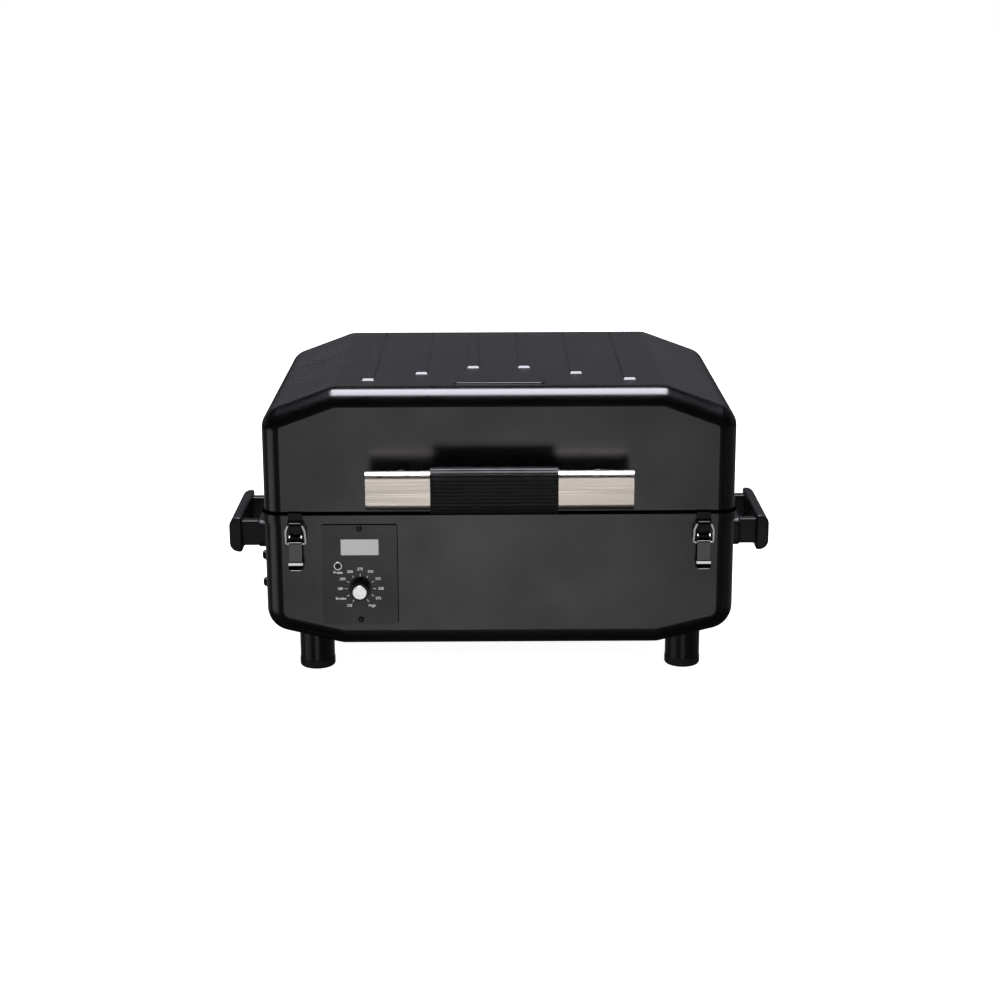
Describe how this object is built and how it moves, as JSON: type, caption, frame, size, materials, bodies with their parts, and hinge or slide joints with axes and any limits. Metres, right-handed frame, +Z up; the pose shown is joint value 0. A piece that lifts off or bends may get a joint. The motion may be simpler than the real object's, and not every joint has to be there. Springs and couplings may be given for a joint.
{
  "type": "pellet smoker grill",
  "caption": "Portable tabletop pellet smoker grill: black steel tub and hinged lid, control panel with dial, toggle latches, hopper, auger, firepot and grate.",
  "frame": {"origin": "on the floor under the centre of the overall box, feet at z = 0", "axes": "+X to the user's right, +Y from the front (panel and lid handle) to the back (hinges), +Z up"},
  "size_m": [0.6306, 0.46, 0.33],
  "materials": {
    "black_coat": "satin black powder coat with a fine texture",
    "leg_coat": "satin black powder coat",
    "foot_rubber": "matt",
    "panel_coat": "satin black with printed dial marks",
    "display_glass": "smoked grey clear window over the display",
    "jack_metal": "bright ring",
    "switch_plastic": "matt",
    "knob_plastic": "satin",
    "cap_metal": "turned",
    "black_screw": "black zinc",
    "circuit_board": "green board",
    "galvanised": "galvanised sheet",
    "brushed_handle": "brushed along its length",
    "grip_rubber": "ribbed, satin",
    "post_coat": "satin black",
    "zinc_fastener": "zinc plated",
    "cap_nut_zinc": "black plated",
    "latch_steel": "bright, lightly brushed",
    "latch_coat": "satin black",
    "hinge_coat": "satin black",
    "handle_plastic": "moulded, fine grain",
    "auger_steel": "plain steel",
    "motor_plastic": "dark grey",
    "fire_steel": "stainless, heat tinted",
    "probe_steel": "plain",
    "tray_coat": "black enamel",
    "grate_iron": "seasoned black",
    "inlet_plastic": "matt",
    "rocker_plastic": "satin"
  },
  "bodies": {
    "tub": {"auger_motor": "motor_plastic", "auger_tube": "auger_steel", "control_board": "circuit_board", "control_panel": "panel_coat", "controller_box": "galvanised", "dial_switch": "switch_plastic", "display_window": "display_glass", "divider_and_rails": "galvanised", "fan_housing": "motor_plastic", "firepot": "fire_steel", "foot_caps": "foot_rubber", "heat_deflector": "fire_steel", "hinge_leaf_tub_left": "hinge_coat", "hinge_leaf_tub_right": "hinge_coat", "hinge_pins": "zinc_fastener", "hinge_screws_tub": "zinc_fastener", "hopper_bin": "galvanised", "hopper_cap_nuts": "cap_nut_zinc", "hopper_hinge": "galvanised", "igniter_rod": "probe_steel", "latch_base_left": "latch_coat", "latch_base_right": "latch_coat", "latch_rivets": "black_screw", "leg_bolts": "zinc_fastener", "leg_front_left": "leg_coat", "leg_front_right": "leg_coat", "leg_rear_left": "leg_coat", "leg_rear_right": "leg_coat", "panel_screws": "black_screw", "power_inlet": "inlet_plastic", "probe_jack": "jack_metal", "side_handle_left": "handle_plastic", "side_handle_right": "handle_plastic", "side_handle_screws": "zinc_fastener", "temperature_probe": "probe_steel", "tub_shell": "black_coat"},
    "lid": {"lid_shell": "black_coat", "exhaust_cover": "black_coat", "handle_bar": "brushed_handle", "handle_grip": "grip_rubber", "handle_post_left": "post_coat", "handle_post_right": "post_coat", "handle_screws": "zinc_fastener", "lid_catch_left": "latch_coat", "lid_catch_right": "latch_coat", "hinge_leaf_lid_left": "hinge_coat", "hinge_leaf_lid_right": "hinge_coat", "hinge_screws_lid": "zinc_fastener"},
    "hopper_flap": {"hopper_lid": "galvanised"},
    "temperature_dial": {"dial_knob": "knob_plastic", "dial_knob_cap": "cap_metal"},
    "latch_lever_left": {"latch_lever_left": "latch_steel"},
    "latch_lever_right": {"latch_lever_right": "latch_steel"},
    "latch_bail_left": {"latch_bail_left": "latch_steel"},
    "latch_bail_right": {"latch_bail_right": "latch_steel"},
    "auger": {"auger_screw": "auger_steel"},
    "fan_wheel": {"fan_impeller": "motor_plastic"},
    "drip_tray": {"drip_tray": "tray_coat"},
    "cooking_grate": {"cooking_grate": "grate_iron"},
    "power_rocker": {"power_rocker": "rocker_plastic"}
  },
  "joints": [
    {"name": "lid_hinge", "type": "hinge", "parent": "tub", "child": "lid", "pos_m": [0, 0.221, 0.18975], "axis": [-1, 0, 0], "range_deg": [0, 80]},
    {"name": "hopper_flap_hinge", "type": "hinge", "parent": "tub", "child": "hopper_flap", "pos_m": [-0.1142, 0.021, 0.1862], "axis": [0, 1, 0], "range_deg": [0, 80]},
    {"name": "dial_turn", "type": "hinge", "parent": "tub", "child": "temperature_dial", "pos_m": [-0.1543, -0.171, 0.1037], "axis": [0, 1, 0], "range_deg": [0, 300]},
    {"name": "drip_tray_lift", "type": "slide", "parent": "tub", "child": "drip_tray", "axis": [0, 0, 1], "range_m": [0, 0.03]},
    {"name": "cooking_grate_lift", "type": "slide", "parent": "drip_tray", "child": "cooking_grate", "axis": [0, 0, 1], "range_m": [0, 0.06]},
    {"name": "auger_spin", "type": "hinge", "parent": "tub", "child": "auger", "pos_m": [-0.1, 0.021, 0.088], "axis": [1, 0, 0], "continuous": true},
    {"name": "fan_spin", "type": "hinge", "parent": "tub", "child": "fan_wheel", "pos_m": [-0.156, -0.064, 0.06], "axis": [0, 0, 1], "continuous": true},
    {"name": "power_rocker_tip", "type": "hinge", "parent": "tub", "child": "power_rocker", "pos_m": [-0.19, 0.208, 0.114], "axis": [1, 0, 0], "range_deg": [0, 16]},
    {"name": "latch_lever_left_pull", "type": "hinge", "parent": "tub", "child": "latch_lever_left", "pos_m": [-0.224, -0.1755, 0.163], "axis": [-1, 0, 0], "range_deg": [0, 115]},
    {"name": "latch_bail_left_swing", "type": "hinge", "parent": "latch_lever_left", "child": "latch_bail_left", "pos_m": [-0.224, -0.174, 0.1564], "axis": [1, 0, 0], "range_deg": [0, 140]},
    {"name": "latch_lever_right_pull", "type": "hinge", "parent": "tub", "child": "latch_lever_right", "pos_m": [0.224, -0.1755, 0.163], "axis": [-1, 0, 0], "range_deg": [0, 115]},
    {"name": "latch_bail_right_swing", "type": "hinge", "parent": "latch_lever_right", "child": "latch_bail_right", "pos_m": [0.224, -0.174, 0.1564], "axis": [1, 0, 0], "range_deg": [0, 140]}
  ],
  "couplings": [
    {"joint": "latch_bail_left_swing", "follows": "latch_lever_left_pull", "ratio": 1.2},
    {"joint": "latch_bail_right_swing", "follows": "latch_lever_right_pull", "ratio": 1.2}
  ]
}
